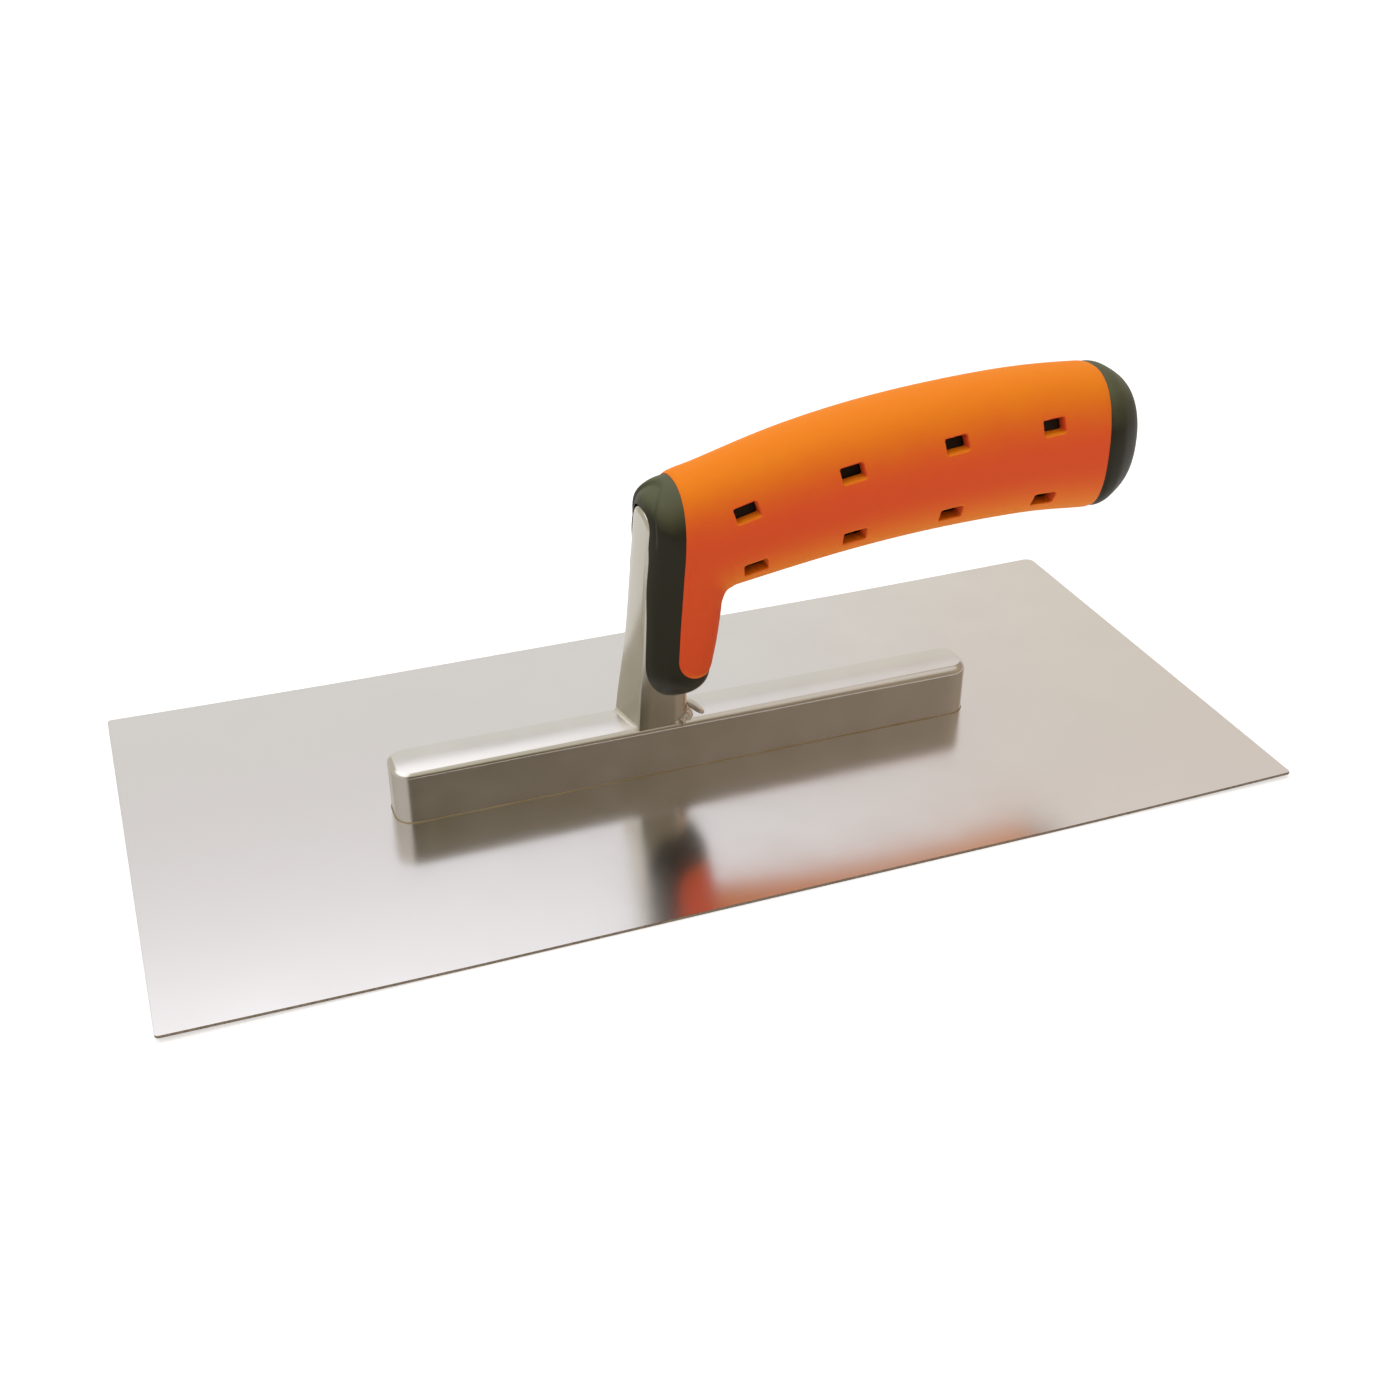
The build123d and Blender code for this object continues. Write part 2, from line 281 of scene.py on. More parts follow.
def blade_rings():
    """The sheet's section at each station: bottom near to far, top far to near, edges broken."""
    x = blade_stations()[:, None]
    near = corner_narrowing(np.abs(x), corner_sharp) - blade_half_width
    worn = np.where(x > 0, corner_narrowing(x, corner_worn), corner_narrowing(-x, corner_sharp))
    far = blade_half_width - worn
    end_break = edge_break * (np.abs(x) > blade_half_length - edge_break / 2)
    side_break = np.full_like(x, edge_break)
    across = np.linspace(0, 1, blade_columns)
    y_flat = (near + edge_break) * (1 - across) + (far - edge_break) * across
    y = np.concatenate([y_flat, far, far, y_flat[:, ::-1], near, near], 1)
    flat = np.ones_like(y_flat)
    z = np.concatenate([flat * end_break, side_break, blade_top - side_break,
                        flat * (blade_top - end_break), blade_top - side_break, side_break], 1)
    return np.stack(np.broadcast_arrays(x, y, z + lift(x)), -1)


blade = smooth(skin("blade_sheet", blade_rings()), 20)

# %% [markdown]
# ## The back bar
# The bar is pressed from sheet and ground by hand: upright walls, a gently crowned top, and between them a
# bevel that starts with a crisp line, rounds into the wall, and gets wider towards the free end. It is a
# stack of plan rings: the same rectangle with rounded corners, drawn in by some inset, at some height.
# Bar, post and handle are built round y = 0, and are moved to their place on the blade at the end.

# %% Back bar
bar_corner = 4.5
bevel_width = 1.15  # of the ground bevel at the middle of the bar
bevel_growth = 0.35  # what its width gains and loses towards the two ends
bevel_waver = 0.05  # and how much it wanders on the way
crisp_step = 0.04  # between the crown's last ring and the bevel's first
bevel_steps = [(1, 0), (0.75, 0.19), (0.5, 0.4), (0.27, 0.63), (0.11, 0.85), (0.03, 1.06), (0, 1.25),
               (0, 1.35)]    # inset and drop, in bevel widths
crown_insets = [6.4, 5.6, 4.6, 3.6, 2.6, 1.8]
bar_crown = 0.6
bar_wall, bar_fillet = 1.5, 0.6  # wall, and rounding of the hollow's roof


def plan_ring(half_x, half_y, radius, long_steps=56, short_steps=5, turn_steps=10):
    """Rectangle with quarter-circle corners; its point count doesn't depend on its size."""
    radius = max(radius, 0.0)
    turn = np.linspace(0, pi / 2, turn_steps + 1)
    signs = [(1, 1), (-1, 1), (-1, -1), (1, -1)]
    arcs = [np.array([half_x - radius, half_y - radius]) * sign
            + radius * np.stack([np.cos(turn + k * pi / 2), np.sin(turn + k * pi / 2)], -1)
            for k, sign in enumerate(signs)]
    runs = []
    for k, arc in enumerate(arcs):
        share = np.linspace(0, 1, (long_steps, short_steps)[k % 2] + 1)[1:-1, None]
        runs += [arc, arc[-1] * (1 - share) + arcs[(k + 1) % 4][0] * share]
    return np.concatenate(runs)


def crest(y):
    """Height of the crown: a flat parabola across the bar."""
    return bar_top - bar_crown * (y / bar_half_width) ** 2


def bar_ring(inset, height=None, drop=0.0, share=0.0):
    """A plan ring at a height, or on the crown less a drop; share is 1 at the bevel's crisp line."""
    plan = plan_ring(bar_half_length - inset, bar_half_width - inset, bar_corner - inset)
    x, y = plan.T
    wider = bevel_growth * x / bar_half_length + bevel_waver * np.sin(x / 9.0) * np.sin(x / 23.0)
    y -= np.sign(y) * wider * share
    z = crest(y) - drop * (1 + wider / bevel_width) if height is None else np.full(len(plan), height)
    return np.column_stack([plan, z])


def bar_rings():
    """From the crown's middle over the bevel and the wall to the rim, then up inside to the roof."""
    run = crown_insets[0] - bevel_width
    crown = [bar_ring(inset, share=1 - (inset - bevel_width) / run)
             for inset in (*crown_insets, bevel_width + crisp_step)]
    bevel = [bar_ring(bevel_width * out, drop=crisp_step + bevel_width * down, share=out)
             for out, down in bevel_steps]
    wall = [bar_ring(0, height=h) for h in (bar_top - 4.0, 9, 4, blade_top + 0.3, blade_top)]
    inner = [bar_ring(bar_wall, height=h) for h in (blade_top, 4)]
    corner = bar_ring(bar_wall, drop=bar_wall + bar_fillet)
    roof = [bar_ring(inset, drop=bar_wall) for inset in (bar_wall + bar_fillet, 3.5, 5.0, bar_half_width)]
    return np.stack([*crown, *bevel, *wall, *inner, corner, *roof])


bar = smooth(weld_points(skin("pressed_bar", bar_rings(), "seam", "seam")), 25)

# %% [markdown]
# ## The weld round the bar
# A fine resistance weld joins the bar to the blade. It shows round the foot as a thin line of tiny beads,
# tarnished brown by the heat: a quarter-round section carried round the bar's plan.

# %% Seam weld
seam_bead = 0.42  # leg of the bead
bead_spacing = 2.1


def seam_rings():
    """Quarter-round section, one plan ring per point of it; the leg wavers with the way round."""
    plan = bar_ring(0, height=blade_top)
    outward, upward = bar_ring(-1, height=blade_top) - plan, np.array([0, 0, 1])
    way = way_along(plan[:, :2])
    beads = 0.05 * np.sin(2 * pi * way / bead_spacing)
    waver = 0.5 + beads + 0.08 * np.sin(way / 7.3) * np.sin(way / 3.1 + 1)
    leg = (seam_bead * waver)[:, None]
    rings = [plan + leg * cos(angle) * outward + leg * sin(angle) * upward
             for angle in np.radians([0, 30, 60, 90])]
    return np.stack([*rings, plan])


seam = smooth(skin("bar_seam_bead", seam_rings(), "joined", "joined"), 60)

# %% [markdown]
# ## The post
# The post is solid steel. Its front leans back as it rises, bulges a little, and is framed by a rounded
# bevel that grows upwards and runs round the tip. At the foot the far edge of the front stands 2 mm before
# the near one, and this twist fades as it rises. The skin has one ring per height, with the same points on
# face, bevel and rear, so that the bevel's lines stay crisp.

# %% Post
post_half, post_tip_half = 5.9, 5.8
post_heights = [-3.0, 0.0, 8.0, 18.0, 30.0, 42.0, 56.9]  # over the bar's crest
post_edges = [-16.1, -15.95, -15.6, -14.95, -14.3, -13.55, -12.55]  # x of the front's near edge
post_skews = [2.2, 2.1, 1.5, 0.8, 0.3, 0.1, 0.0]  # how far the far edge is before it
post_bevels = [0.5, 0.55, 0.7, 1.0, 1.1, 1.15, 1.15]  # leg of the bevel
post_bow = 0.5  # bulge of the middle
post_rear, post_rear_edge = -1.5, 5.0
slot_ahead = 12.0  # how far the collar's slot is cut open before the front
arch_centre = post_tip - post_tip_half
arch_power = 2.6  # 2 is a round arch, and more is squarer


def natural_curve(knots, values, places):
    """Piecewise cubic through the values at the knots, with no curvature at its two ends."""
    knots, values = np.asarray(knots, float), np.asarray(values, float)
    gap = np.diff(knots)
    count = len(knots)
    matrix = np.eye(count)
    right = np.zeros_like(values)
    inner = np.arange(1, count - 1)
    matrix[inner, inner - 1], matrix[inner, inner + 1] = gap[:-1], gap[1:]
    matrix[inner, inner] = 2 * (gap[:-1] + gap[1:])
    slope = np.diff(values, axis=0) / gap[:, None]
    right[1:-1] = 6 * np.diff(slope, axis=0)
    bend = np.linalg.solve(matrix, right)
    span = np.clip(np.searchsorted(knots, places, side="right") - 1, 0, count - 2)
    t = (places - knots[span])[:, None]
    g = gap[span][:, None]
    lead = slope[span] - g * (2 * bend[span] + bend[span + 1]) / 6
    return values[span] + t * (lead + t * (bend[span] / 2 + t * (bend[span + 1] - bend[span]) / (6 * g)))


def post_front(z):
    """Edge, skew and bevel of the post at each height."""
    table = np.array([post_edges, post_skews, post_bevels]).T
    rows = natural_curve(np.array(post_heights), table, (z - bar_top).ravel())
    return rows.T.reshape(3, *z.shape)


def arch_norm(y, rise):
    """Distance from the arch's centre, measured so that every point of the arch is equally far."""
    return (np.abs(y) ** arch_power + rise ** arch_power) ** (1 / arch_power)


def within_arch(half, radius, z):
    """Half width of an outline with straight sides and an arch on top."""
    rise = np.maximum(z - arch_centre, 0)
    left = np.maximum(1 - (rise / radius) ** arch_power, 0)
    return np.where(rise > 0, radius * left ** (1 / arch_power), half)


def post_face(y, past, side, edge, skew, bevel):
    """x of the front: a skewed, bulged line, and past its edges a quarter round that starts in a kink."""
    across = np.clip(y / (side - bevel), -1, 1)
    share = np.clip(past / bevel, 0, 1)
    face = edge - skew * (1 + across) / 2 - post_bow * (1 - across ** 2)
    return face + bevel * (0.25 * share + 0.75 * (1 - np.sqrt(1 - share ** 2)))


def post_levels(base, grow):
    """Heights of the rings: even up the sides, by equal angles round the tip."""
    radius = post_tip_half + grow
    arch = arch_centre + radius * np.sin(np.radians(np.arange(3, 91, 3)))
    shoulder = arch_centre + (radius - post_bevels[-1]) * np.array([0.98, 0.995, 1.0])
    straight = np.linspace(base, arch_centre, 48)
    return np.unique(np.concatenate([straight, arch, shoulder]))[:, None]


def post_back(y, side, grow=0.0, most=post_rear_edge):
    """x of the rear: a straight line with a quarter circle at each side."""
    past = np.clip(np.abs(y) - (side - post_rear_edge), 0, most)
    return post_rear + grow - (post_rear_edge - np.sqrt(post_rear_edge ** 2 - past ** 2))


def post_rings(base, grow=0.0, open_front=False):
    """Rings up the post: the face with its bevels from near to far, side, rear, side."""
    z = post_levels(base, grow)
    edge, skew, bevel = post_front(z)
    if open_front:
        edge, skew, bevel = edge - slot_ahead, 0 * skew, 0 * bevel + 0.05
    edge = edge - grow
    side = post_half + (post_tip_half - post_half) * (z - bar_top) / (post_tip - bar_top) + grow
    outline = within_arch(side, post_tip_half + grow, z)
    face_radius = post_tip_half + grow - bevel
    face = np.minimum(within_arch(side - bevel, face_radius, z), outline)
    inner = face * np.sin(np.linspace(-pi / 2, pi / 2, 25))
    rim = face + (outline - face) * np.linspace(0, 1, 9)[1:]
    y = np.concatenate([-rim[:, ::-1], inner, rim], 1)
    rise = np.maximum(z - arch_centre, 0)
    past = np.where(z > arch_centre, arch_norm(y, rise) - face_radius, np.abs(y) - (side - bevel))
    y_rear = outline * np.sin(np.linspace(pi / 2, -pi / 2, 41))
    sides = ((post_face(y, past, side, edge, skew, bevel), y), (post_back(y_rear, side, grow), y_rear))
    front, rear = (np.stack([px, py, np.broadcast_to(z, py.shape)], -1) for px, py in sides)
    far_side = [front[:, -1:] * (1 - s) + rear[:, :1] * s for s in (0.3, 0.7)]
    near_side = [rear[:, -1:] * (1 - s) + front[:, :1] * s for s in (0.3, 0.7)]
    return np.concatenate([front, *far_side, rear, *near_side], 1)


post = smooth(weld_points(skin("steel_post", post_rings(bar_top - 1.2), last="seam")), 40)

# %% [markdown]
# ## The welds at the post's foot
# In front the joint is a clean straight fillet that catches the light. Behind, it was closed by hand:
# a rough bead with lumps runs round the rear, and the last drop of metal was drawn out over the bar.

# %% Foot welds
fillet_leg = 0.8
bead_leg = 1.25
fillet_section = [(1, -0.1), (1, 0.06), (0.62, 0.24), (0.35, 0.45), (0.16, 0.7), (0, 1), (-0.3, 1),
                  (-0.3, -0.1)]      # outwards and up, in legs
bead_section = [(-0.4, -0.3), (1, -0.3), (1.02, 0.05), (0.94, 0.32), (0.76, 0.58), (0.5, 0.8),
                (0.2, 0.95), (-0.1, 1), (-0.4, 0.95)]


def under_weld(y, fall):
    """Height of the bar under a weld: its crown, less a fall past 5 mm, where the bevel begins."""
    return crest(y) - fall * np.clip(np.abs(y) - 5.0, 0, 1)


def front_fillet_rings():
    """Triangular section with a slightly hollow face, carried along the foot of the front."""
    y = np.linspace(-post_half + 0.1, post_half - 0.1, 61)
    edge, skew, bevel = post_front(np.array([bar_top + 0.3]))
    front = post_face(y, np.abs(y) - (post_half - bevel), post_half, edge, skew, bevel)
    ground = under_weld(y, 0.25)
    ends = np.sqrt(np.clip(1 - (np.abs(y) / (post_half - 0.05)) ** 16, 0.03, 1))
    leg = fillet_leg * ends * (1 + 0.06 * np.sin(y * 2.3))
    rings = [np.stack([front - leg * out, y, ground + leg * up], -1) for out, up in fillet_section]
    return np.stack(rings, 1)


def rear_bead_rings():
    """Round section carried round the rear of the foot, swelling in lumps."""
    turn = np.linspace(-1, 1, 161)
    y = (post_half - 0.15) * np.sin(turn * pi / 2)
    x = post_back(y, post_half, most=post_rear_edge - 0.3)
    outward = unit(np.stack([np.gradient(y), -np.gradient(x)], -1))
    way = way_along(np.stack([x, y], -1))
    lumps = 0.8 + 0.28 * np.sin(way * 2.6) * np.sin(way * 0.9 + 0.6) + 0.13 * np.sin(way * 5.7 + 1)
    leg = bead_leg * lumps * np.sqrt(np.clip(1 - turn ** 12, 0.04, 1))
    ground = under_weld(y, 0.3)
    rings = []
    for out, up in bead_section:
        flat = np.stack([x, y], -1) + outward * (leg * out)[:, None]
        rings.append(np.column_stack([flat, ground + 0.85 * leg * up]))
    return np.stack(rings, 1)


def drawn_drop(centre, lengthwise, sideways, tall, heading):
    """Rings of a flattened ball, thinner towards its far end, turned to a heading."""
    up = np.radians(np.linspace(-90, 90, 21))[1:-1, None]
    way = np.radians(np.linspace(0, 360, 48, endpoint=False))[None, :]
    along_it = np.cos(up) * np.cos(way)
    across = np.cos(up) * np.sin(way) * (1 - 0.22 * along_it) + 0.06 * np.sin(3 * way) * np.cos(up)
    high = np.sin(up) * (1 - 0.2 * along_it)
    a, b = lengthwise * along_it, sideways * across
    turn = radians(heading)
    return np.stack([centre[0] + a * cos(turn) - b * sin(turn), centre[1] + a * sin(turn) + b * cos(turn),
                     centre[2] + tall * high], -1)


front_fillet = smooth(skin("front_fillet_weld", front_fillet_rings()), 60)
rear_weld = skin("rear_weld_bead", rear_bead_rings())
drops = [((0.9, -0.5, bar_top - 0.15), 4.0, 1.4, 0.9, -73),
         ((-1.9, -4.2, bar_top - 0.5), 1.7, 1.1, 1.0, -120),
         ((-5.3, -5.75, bar_top - 0.75), 0.75, 0.6, 0.75, 10),
         ((-0.7, 3.4, bar_top - 0.4), 1.6, 1.3, 1.2, 60)]
for place in drops:
    cut(rear_weld, skin("drop", drawn_drop(*place)), "UNION")
smooth(rear_weld, 70)

# %% [markdown]
# ## The handle's shape
# The handle is one smooth form: a short leg, a bend, a long arm and a domed end. It is described by
# stations: flat sections with an inner point, an outer point, half a width and a squareness, where 2 is an
# ellipse and larger numbers bulge towards a rectangle. A smooth curve through the stations gives as many
# sections as a skin needs.

# %% Smooth curves and handle stations
leg_base = bar_top + 6.2  # underside of the leg; handle heights are measured from here
leg_toe, dome_length = 10.9, 13.5
leg_half, corner_half, arm_half, arm_end_half = 12.1, 13.5, 15.7, 15.3
leg_rear = [(4.2, 10.9), (6.4, 21.9)]
leg_front = [(-14.3, 10.9), (-14.1, 23.9)]
inner_corner, inner_radius, inner_turn = (10.4, 24.3), 4.0, 83.0
brow = [(-14.1, 23.9), (-14.0, 33.8), (-13.5, 43.7), (-13.1, 52.4), (-5.4, 57.5), (3.2, 59.9)]
arm_top = [(3.2, 59.9), (19.1, 64.2), (44.0, 68.9), (70.3, 71.5), (93.7, 72.1), (106.6, 71.4)]
arm_under = [(24.6, 30.8), (47.0, 33.8), (70.8, 35.2), (93.7, 34.9), (106.6, 33.8)]
leg_squareness, arm_squareness = 2.7, 2.2
outer_finer, outer_columns = 14, 240  # rings per station and points per ring of the visible skin
inner_finer, inner_columns = 6, 120  # and of the surfaces inside
collar_last, cap_first = 19, 20  # stations past the collar and before the cap


def along(points, shares):
    """Points at shares of the way along a smooth curve through the given points."""
    way = way_along(points)
    return natural_curve(way / way[-1], points, shares)


def drawn_in(inner, outer, inset):
    """Both points of each station, moved towards each other by the inset."""
    across = unit(outer - inner)
    return inner + across * inset, outer - across * inset


def closed_end(inner, outer, turn, way, half, square, power=1.0):
    """Stations that close an end: its way goes by the sine of the turn, and its sizes by the cosine."""
    middle, reach = (inner + outer) / 2, (outer - inner) / 2
    centre = middle + np.sin(turn)[:, None] * np.array(way)
    tall = reach * np.cos(turn)[:, None] ** power
    return np.column_stack([centre - tall, centre + tall, half * np.cos(turn), 0 * turn + square])


def stations(inset=0.0):
    """All stations as rows of inner x and height, outer x and height, half width, squareness."""
    rear, front = drawn_in(np.array(leg_rear[:1]), np.array(leg_front[:1]), inset)
    turn = np.radians([84, 70, 54, 37, 19])
    toe = closed_end(rear, front, turn, (0, inset - leg_toe), leg_half - inset, leg_squareness)
    share = np.array([[0.0], [0.5]])
    lines = (np.array(line[0]) * (1 - share) + np.array(line[1]) * share for line in (leg_rear, leg_front))
    leg = np.column_stack([*drawn_in(*lines, inset), [leg_half - inset] * 2, [leg_squareness] * 2])
    u = np.linspace(0, 1, 9)
    angle = np.radians(180 - inner_turn * u)
    bend = np.array(inner_corner) + inner_radius * np.stack([np.cos(angle), np.sin(angle)], -1)
    half = leg_half + (corner_half - leg_half) * u - inset
    square = leg_squareness + (arm_squareness - leg_squareness) * u
    turned = np.column_stack([*drawn_in(bend, along(brow, u), inset), half, square])
    u = u[1:]
    widths = np.array([[corner_half], [arm_half - 0.2], [arm_half], [arm_end_half]])
    half = natural_curve([0, 0.35, 0.7, 1], widths, u)
    sides = drawn_in(along([tuple(bend[-1])] + arm_under, u), along(arm_top, u), inset)
    arm = np.column_stack([*sides, half - inset, 0 * u + arm_squareness])
    low, high = drawn_in(np.array(arm_under[-1:]), np.array(arm_top[-1:]), inset)
    turn = np.radians([20, 38, 54, 70, 84])
    dome = closed_end(low, high, turn, (dome_length - inset, 0), arm_end_half - inset, arm_squareness, 0.85)
    return np.concatenate([toe, leg, turned, arm, dome])


def handle_rings(inset=0.0, finer=inner_finer, columns=inner_columns):
    """Rings of the handle: superellipses, whose cosine and sine are raised to 2 / squareness."""
    table = stations(inset)
    count = len(table)
    places = np.linspace(0, count - 1, (count - 1) * finer + 1)
    rows = natural_curve(np.arange(count), table, places)
    inner, outer, half, square = np.split(rows, [2, 4, 5], axis=1)
    middle, reach = (inner + outer) / 2, (outer - inner) / 2
    angle = np.radians(np.linspace(0, 360, columns, endpoint=False))[None, :]
    lengthwise, sideways = (np.sign(v) * np.abs(v) ** (2 / square) for v in (np.cos(angle), np.sin(angle)))
    x = middle[:, :1] + reach[:, :1] * lengthwise
    z = middle[:, 1:] + reach[:, 1:] * lengthwise + leg_base
    return np.stack([x, half * sideways, z], -1)


def ring_normals(rings):
    """Outward directions of a stack of rings: the cross product of its two ways."""
    down = np.gradient(rings, axis=0)
    round_ = np.roll(rings, -1, 1) - np.roll(rings, 1, 1)
    normal = np.cross(down, round_)
    normal /= np.linalg.norm(normal, axis=2, keepdims=True) + 1e-12
    out = rings - rings.mean(axis=1, keepdims=True)
    return normal * np.sign((normal * out).sum(2).mean())


# %% [markdown]
# ## Where the mouldings meet
# The soft layer covers the arm and sends a rounded tongue down the leg. Hard plastic shows before it,
# round the post, and at the free end. The limits are an outline seen from the side, carried through the
# whole width as a cutting tool. The rear seam bows towards the free end.

# %% Seams
front_seam = [(-7.1, 14.9), (-4.9, 56.7)]
tongue_end, tongue_round, tongue_rear, tongue_climb = 8.35, 5.6, 2.2, 10.9
rear_seam, rear_seam_radius = 107.6, 56.0
grip_thickness = 3.0
beyond, above = 60.0, 90.0  # behind the rear seam and over the leg, clear of the handle
tool_half = 24.0  # half width of the cutting tools
block_front, block_top = 60.0, 130.0


def filleted(corners, radius, steps=9):
    """Closed outline whose corners are arcs of the radius."""
    corners = np.array(corners, float)
    before, after = (unit(np.roll(corners, way, 0) - corners) for way in (1, -1))
    half = np.arccos(np.clip((before * after).sum(1), -1, 1)) / 2
    centre = corners + unit(before + after) * (radius / np.sin(half))[:, None]
    first, last = (corners + side * (radius / np.tan(half))[:, None] for side in (before, after))
    share = np.linspace(0, 1, steps)[None, :, None]
    chord = first[:, None] * (1 - share) + last[:, None] * share - centre[:, None]
    chord *= radius / np.linalg.norm(chord, axis=2, keepdims=True)
    return (centre[:, None] + chord).reshape(-1, 2)


def grip_outline():
    """Side outline of what the soft layer covers."""
    (x1, h1), (x2, h2) = front_seam
    top, low, rear = leg_base + above, leg_base + tongue_end, rear_seam + beyond
    slope = (x2 - x1) / (h2 - h1)
    front = [(x1 + slope * (z - leg_base - h1), z) for z in (top, low)]
    shelf = low + tongue_climb
    climb = [(tongue_rear, low), (tongue_rear + tongue_climb, shelf), (rear, shelf), (rear, top)]
    return filleted([*front, *climb], tongue_round)


def rear_limit(y):
    """x of the rear seam: a circle seen from above, farthest back on the middle line."""
    return rear_seam - (rear_seam_radius - np.sqrt(rear_seam_radius ** 2 - y ** 2))


def through_width(name, outline, bowed_from=np.inf, shift=0.0):
    """Side outline carried through the width; its points past bowed_from follow the rear seam."""
    y = np.linspace(-tool_half, tool_half, 49)[:, None]
    x = np.where(outline[:, 0] > bowed_from, rear_limit(y) + shift, outline[:, 0])
    return skin(name, np.stack(np.broadcast_arrays(x, y, outline[:, 1]), -1))


def seam_distance(points, outline):
    """Distance in the side view from each point to a closed outline."""
    flat = points.reshape(-1, 3)[:, [0, 2]]
    nearest = np.full(len(flat), np.inf)
    for start, run in zip(outline, np.roll(outline, -1, 0) - outline):
        t = np.clip(((flat - start) @ run) / ((run ** 2).sum() + 1e-12), 0, 1)[:, None]
        nearest = np.minimum(nearest, np.hypot(*(flat - start - t * run).T))
    return nearest.reshape(points.shape[:2])

# %% [markdown]
# ## The soft layer
# A rubber-like plastic is moulded over the core, 3 mm thick, and stops in a crisp, slightly rounded edge:
# the outer skin is drawn in a little near a seam.

# %% Soft layer
edge_depth, edge_reach = 0.28, 0.6  # rounding of the soft layer at its seams


def near_seam(rings, depth, reach):
    """Full depth at the nearer seam, and a bell curve of the distance to it elsewhere."""
    rear = np.abs(rings[..., 0] - rear_limit(np.clip(rings[..., 1], -tool_half, tool_half)))
    gap = np.minimum(seam_distance(rings, grip_outline()), rear)
    return depth * np.exp(-(gap / reach) ** 2)


def sink(rings, depth):
    """Rings with every point moved inwards along its normal by a depth."""
    return rings - ring_normals(rings) * depth[..., None]


outer = handle_rings(0.0, outer_finer, outer_columns)
grip = skin("soft_grip_layer", sink(outer, near_seam(outer, edge_depth, edge_reach)))
cut(grip, through_width("grip_region", grip_outline(), bowed_from=rear_seam), "INTERSECT")
cut(grip, skin("inside", handle_rings(grip_thickness)))

# %% [markdown]
# ## The windows
# Four pairs of small oblong windows go through the soft layer on each side, down to the core. Each is a
# slot drawn straight out sideways, as the mould's slides leave it. Its rim is broken by a small bevel that
# follows the curved surface.

# %% Windows
window_length, window_height, window_corner, window_rim = 6.0, 3.6, 0.5, 0.35
upper_windows = [(9.5, 51.5, 16), (35.8, 57.9, 10), (62.9, 61.4, 6), (89.6, 62.2, 3)]
lower_windows = [(12.5, 36.5, 14), (37.4, 41.2, 8), (63.1, 43.2, 5), (89.4, 42.8, 0)]
window_steps = [(0, None), (0, -1), (0.35, -0.3), (1, 0), (2.4, 3.0 / window_rim)]
slot_bottom = 2.0  # from the middle plane


def window_outline(x, height, tilt, grow):
    """Rounded oblong in the side view, turned by its tilt."""
    plan = plan_ring(window_length / 2 + grow, window_height / 2 + grow, window_corner + grow, 8, 6, 4)
    turn = radians(tilt)
    return np.stack([x + plan[:, 0] * cos(turn) - plan[:, 1] * sin(turn),
                     leg_base + height + plan[:, 0] * sin(turn) + plan[:, 1] * cos(turn)], -1)


near_side = outer[outer[..., 1] < -4]  # the skin's near half, without its strip along the middle


def surface_depth(flat):
    """Distance of the handle's side from the middle plane, by its four nearest points."""
    beside = near_side[np.abs(near_side[:, 0] - flat[:, 0].mean()) < 8]
    away = np.hypot(flat[:, None, 0] - beside[None, :, 0], flat[:, None, 1] - beside[None, :, 2])
    nearest = np.argpartition(away, 4, axis=1)[:, :4]
    share = 1 / (np.take_along_axis(away, nearest, 1) + 0.05)
    return (-beside[nearest, 1] * share).sum(1) / share.sum(1)


def window_cutter(x, height, tilt, side):
    """Straight slot to just under the surface, then a bevel that widens to it and beyond."""
    rings = []
    for grow, out in window_steps:
        flat = window_outline(x, height, tilt, window_rim * grow)
        depth = np.full(len(flat), slot_bottom) if out is None else surface_depth(flat) + window_rim * out
        rings.append(np.stack([flat[:, 0], side * depth, flat[:, 1]], -1))
    return skin("window", np.stack(rings))


for place in upper_windows + lower_windows:
    for side in (-1, 1):
        cut(grip, window_cutter(*place, side))
smooth(grip, 32)

# %% [markdown]
# ## The front collar
# Hard plastic wraps the post. Round the post's tip it is set back behind an arched step that fades out
# lower down, and beside the soft layer it dips a little. The post's outline, a little larger, is then
# taken out, which leaves a fine dark gap.

# %% Front collar
facet_half, facet_top, facet_soft, facet_depth = 9.3, 12.2, 0.8, 0.9
facet_low, facet_fade = 3.0, 8.0  # the step is gone below the arch's centre less facet_low
facet_rear, facet_turn = -5.0, 3.0  # x where it ends, and how softly
dip_depth, dip_reach = 0.4, 2.0
post_gap = 0.32  # between the post and the collar
slot_below = 6.0  # how far the slot starts under the leg


def smooth_step(share):
    """0 below 0, 1 above 1, and a smooth S between."""
    share = np.clip(share, 0, 1)
    return share * share * (3 - 2 * share)


def facet(rings):
    """Depth of the step: full inside the arch round the post's tip, only in front, and fading below."""
    x, y, z = np.moveaxis(rings, -1, 0)
    away = np.hypot(y / facet_half, np.maximum(z - arch_centre, 0) / facet_top)
    inside = smooth_step((1 - away) * facet_half / facet_soft)
    height = smooth_step((z - arch_centre + facet_low) / facet_fade)
    return facet_depth * inside * height * smooth_step((facet_rear - x) / facet_turn)


rows = outer[:outer_finer * collar_last]
dip = near_seam(rows, dip_depth, dip_reach)
collar = skin("front_collar_shell", sink(rows, dip + facet(rows)))
cut(collar, through_width("grip_region", grip_outline()))
slot = skin("post_slot", post_rings(leg_base - slot_below, post_gap, open_front=True), last="seam")
weld_points(slot)
smooth(cut(collar, slot), 32)

# %% [markdown]
# ## The end cap
# The free end is a separate hard moulding: the domed shell, plus a short spigot that plugs into the core,
# less the hollow.

# %% End cap
cap_wall, cap_flange, spigot_wall, spigot_length, spigot_fit = 2.6, 2.0, 1.8, 6.5, 5.65
lip_depth, lip_reach = 0.4, 0.8


